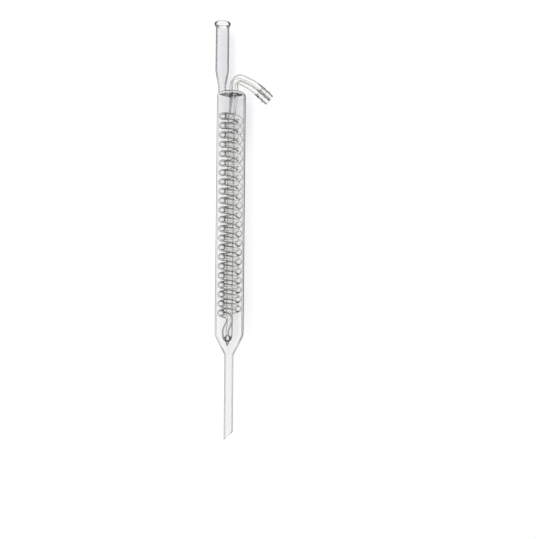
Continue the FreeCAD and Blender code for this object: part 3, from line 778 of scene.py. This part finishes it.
class CONDENSER_OT_fused_glass(bpy.types.Operator):
    """Blow the jacket, vent tube, stem and water line and fuse them into one piece"""
    bl_idname = "condenser.fused_glass"
    bl_label = "Fused glass"

    def execute(self, context):
        scene = context.scene
        jacket, vent = scene.condenser_jacket, scene.condenser_vent
        water, ends = scene.condenser_water, scene.condenser_ends
        look = scene.condenser_glass
        half = look.edge_blend / 2
        vent_top = jacket.length + vent.length
        wide = blown_borosilicate(
            "Flame-worked borosilicate glass", look, (look.body, look.head_body),
            (look.shadow, look.head_shadow), look.stem_zone, [
                ("Y", jacket.cone_start, jacket.diameter / 2, look.jacket_zone),
                # Painted shade: on the jacket's +X side, away from the key lamp, the edge turns
                # dark sooner.
                ("X", jacket.stem_diameter / 2, jacket.diameter / 2, look.painted_shade_zone),
                ("Y", jacket.length - half, jacket.length + half, look.vent_zone),
                ("Y", vent_top - vent.lip_length - vent.flare_length, vent_top,
                 look.lip_zone)])

        radius = water.coil_radius
        collar_height = COLLAR_REACH * ends.collar_round
        under_plate = jacket.length - jacket.wall - collar_height
        over_plate = jacket.length + collar_height
        drip_top = return_foot(water)
        narrow = blown_borosilicate(
            "Wound borosilicate tubing", look, (look.tubing_body, look.tubing_body),
            (look.tubing_shadow, look.tubing_shadow), look.painted_light_turn_zone, [
                # Painted light: the coil's middle turns dark sooner and both its sides later.
                ("X", -radius, -radius / 2, look.coil_zone),
                ("X", radius / 4, radius * 3 / 4, look.painted_light_turn_zone),
                ("Y", look.tail_height + half, look.tail_height - half, look.tail_zone),
                ("Y", under_plate - half, under_plate + half, look.collar_zone),
                ("Y", over_plate - half, over_plate + half, look.hose_zone),
                ("X", look.ridge_reach - half, look.ridge_reach + half, look.ridge_zone),
                ("Y", drip_top + half, drip_top - half, look.drip_zone)])

        tree = tubing_tree()
        tube = water.tube_diameter / 2
        outside = draw_tubing("tubing_outside", tree, water_route(jacket, water, 0.0),
                              tube, TUBING_SIDES, radius, narrow)
        bore = draw_tubing("tubing_bore", tree, water_route(jacket, water, BORE_OVERRUN),
                           tube - water.tube_wall, BORE_SIDES, radius, narrow)

        inlet_base = Vector((water.inlet_offset, 0, 0))
        outlet_base = riser_foot(water)
        parts = [outside, drip_point(water)]
        for name, base, arm, turn in (
                ("inlet", inlet_base, water.inlet_arm, water.inlet_turn),
                ("outlet", outlet_base, water.outlet_arm, water.outlet_turn)):
            corners = arm_corners(jacket, water, base, arm, turn, 0.0)
            end, knee = corners[2][0], corners[1][0]
            parts.append(hose_end(name + "_hose_end", water, ends, end,
                                  (end - knee).normalized()))
            parts.append(seal_collar(name + "_collar", water, ends, base,
                                     jacket.length, 1))
            parts.append(seal_collar(name + "_inner_collar", water, ends, base,
                                     jacket.length - jacket.wall, -1))

        for part in parts[1:]:
            part.data.materials.append(narrow)
        shell, neck, drill = (jacket_blank(jacket), vent_blank(jacket, vent),
                              neck_drill(jacket, vent))
        for part in (shell, neck, drill):
            part.data.materials.append(wide)

        shell = fuse(shell, [neck], "UNION", "shell")
        shell = fuse(shell, [drill], "DIFFERENCE", "opened_shell")
        whole = fuse(shell, parts, "UNION", "filled_glass")
        whole = fuse(whole, [bore], "DIFFERENCE", "fused_glass")

        mesh = whole.data
        mesh.shade_smooth()
        mesh.set_sharp_from_angle(angle=SHARP_ANGLE)
        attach(whole, "root")
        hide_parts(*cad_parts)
        return {"FINISHED"}


def paper_floor(look):
    """Matt white paper sweep: an even pale surface that keeps a soft shadow. What the
    camera and the glass see of it is mostly its own white, so the shadow stays faint, and
    far from the object it is all white, so that the sweep shows no horizon."""
    material = bpy.data.materials.new("Matt paper sweep")
    material.use_nodes = True
    tree = material.node_tree
    tree.nodes.clear()
    paper = add_node(tree, "ShaderNodeBsdfDiffuse", {"Color": (*look.paper, 1)})
    white = add_node(tree, "ShaderNodeEmission", {"Color": (1, 1, 1, 1), "Strength": 1.0})
    path = add_node(tree, "ShaderNodeLightPath")
    glass = add_node(tree, "ShaderNodeMath", {
        0: path.outputs["Is Glossy Ray"], 1: path.outputs["Is Transmission Ray"]},
        operation="MAXIMUM")
    in_glass = add_node(tree, "ShaderNodeMath", {0: glass.outputs[0], 1: look.paper_in_glass},
                        operation="MULTIPLY")
    place = add_node(tree, "ShaderNodeTexCoord")
    away = add_node(tree, "ShaderNodeVectorMath", {
        0: place.outputs["Object"], 1: MIDDLE}, operation="DISTANCE")
    plain = add_node(tree, "ShaderNodeMapRange", {
        "Value": away.outputs["Value"], "From Min": look.near_reach,
        "From Max": look.far_reach, "To Min": look.paper_near, "To Max": 1.0},
        interpolation_type="SMOOTHSTEP")
    whiteness = add_node(tree, "ShaderNodeMix", {
        0: path.outputs["Is Camera Ray"], 2: in_glass.outputs[0], 3: plain.outputs[0]},
        data_type="FLOAT")
    mixed = add_node(tree, "ShaderNodeMixShader", {
        0: whiteness.outputs[0], 1: paper.outputs[0], 2: white.outputs[0]})
    add_node(tree, "ShaderNodeOutputMaterial", {"Surface": mixed.outputs[0]})
    return material


def studio_world(look):
    """Even light for matt things, plain white behind the camera's view, and a dimmer room
    for the glass to mirror."""
    world = bpy.data.worlds.new("Studio")
    world.use_nodes = True
    tree = world.node_tree
    tree.nodes.clear()
    path = add_node(tree, "ShaderNodeLightPath")
    in_glass = add_node(tree, "ShaderNodeMath", {
        0: path.outputs["Is Glossy Ray"], 1: path.outputs["Is Transmission Ray"]},
        operation="MAXIMUM")
    room = add_node(tree, "ShaderNodeMix", {
        0: in_glass.outputs[0], 2: look.room, 3: look.room_in_glass}, data_type="FLOAT")
    level = add_node(tree, "ShaderNodeMix", {
        0: path.outputs["Is Camera Ray"], 2: room.outputs[0], 3: 1.0}, data_type="FLOAT")
    light = add_node(tree, "ShaderNodeBackground", {
        "Color": (1, 1, 1, 1), "Strength": level.outputs[0]})
    add_node(tree, "ShaderNodeOutputWorld", {"Surface": light.outputs[0]})
    return world


def softbox(name, place, aim, along, across, power):
    """A soft rectangular lamp with one side along the condenser. The glass mirrors it and
    isn't shown it through a wall, where it would only make bright specks."""
    lamp = bpy.data.lights.new(name, "AREA")
    lamp.shape = "RECTANGLE"
    lamp.size, lamp.size_y = across, along
    lamp.energy = power
    thing = bpy.data.objects.new(name, lamp)
    bpy.context.scene.collection.objects.link(thing)
    back = (Vector(place) - Vector(aim)).normalized()
    side = ALONG.cross(back).normalized()
    thing.matrix_world = Matrix.Translation(place) @ Matrix(
        (side, back.cross(side), back)).transposed().to_4x4()
    thing.visible_camera = False
    thing.visible_transmission = False
    return thing


class CONDENSER_OT_stage(bpy.types.Operator):
    """Lay the paper floor, light it and set the camera above it"""
    bl_idname = "condenser.stage"
    bl_label = "Stage"

    def execute(self, context):
        scene = context.scene
        look = scene.condenser_stage

        mesh = bpy.data.meshes.new("paper_floor")
        corners = [(MIDDLE.x + x * look.floor_reach, MIDDLE.y + y * look.floor_reach,
                    CAD_BOX[0].z) for x, y in ((-1, -1), (1, -1), (1, 1), (-1, 1))]
        mesh.from_pydata(corners, [], [(0, 1, 2, 3)])
        floor = mesh_object("paper_floor", mesh)
        mesh.materials.append(paper_floor(look))

        # The key lamp draws the shadow, and only the wide head lamp shows as gloss.
        key = softbox("key_softbox", (-0.5, 0.25, 1.15), MIDDLE, 0.3, 0.3, look.key_power)
        key.visible_glossy = False
        softbox("head_softbox", (-0.6, 1.1, 0.9), MIDDLE, 0.5, 1.6, look.head_power)
        scene.world = studio_world(look)

        lens = bpy.data.cameras.new("camera")
        lens.sensor_width = 36
        lens.lens = lens.sensor_width * look.camera_height / look.seen_width
        lens.shift_y = look.camera_shift
        camera = bpy.data.objects.new("camera", lens)
        scene.collection.objects.link(camera)
        camera.location = (look.camera_aside, look.camera_along, look.camera_height)
        camera.rotation_euler = (0, 0, look.camera_roll)
        scene.camera = camera
        scene.view_settings.view_transform = "Standard"
        # Light crosses many walls on its way through jacket, coil and central tube.
        scene.cycles.max_bounces = 32
        scene.cycles.transmission_bounces = 32
        return {"FINISHED"}


class CONDENSER_PT_panel(bpy.types.Panel):
    """Lists the condenser's pieces and sizes"""
    bl_idname = "CONDENSER_PT_panel"
    bl_label = "Coil condenser"
    bl_space_type = "VIEW_3D"
    bl_region_type = "UI"
    bl_category = "Condenser"

    def draw(self, context):
        layout = self.layout
        for operator in (CONDENSER_OT_fused_glass, CONDENSER_OT_stage):
            layout.operator(operator.bl_idname)
        for name in GROUPS:
            sizes = getattr(context.scene, name)
            box = layout.box()
            for prop in sizes.bl_rna.properties:
                if not prop.is_readonly and prop.identifier != "name":
                    box.prop(sizes, prop.identifier)


GROUPS = {
    "condenser_jacket": JacketSizes,
    "condenser_vent": VentSizes,
    "condenser_water": WaterLineSizes,
    "condenser_ends": HoseEndSizes,
    "condenser_glass": GlassLook,
    "condenser_stage": StageLook,
}
CLASSES = (*GROUPS.values(), CONDENSER_OT_fused_glass, CONDENSER_OT_stage,
           CONDENSER_PT_panel)


def register():
    for made in CLASSES:
        bpy.utils.register_class(made)
    for name, group in GROUPS.items():
        setattr(bpy.types.Scene, name, bpy.props.PointerProperty(type=group))


def unregister():
    for name in GROUPS:
        delattr(bpy.types.Scene, name)
    for made in reversed(CLASSES):
        bpy.utils.unregister_class(made)


def main():
    register()
    bpy.ops.condenser.fused_glass()
    bpy.ops.condenser.stage()


if __name__ == "__main__":
    main()
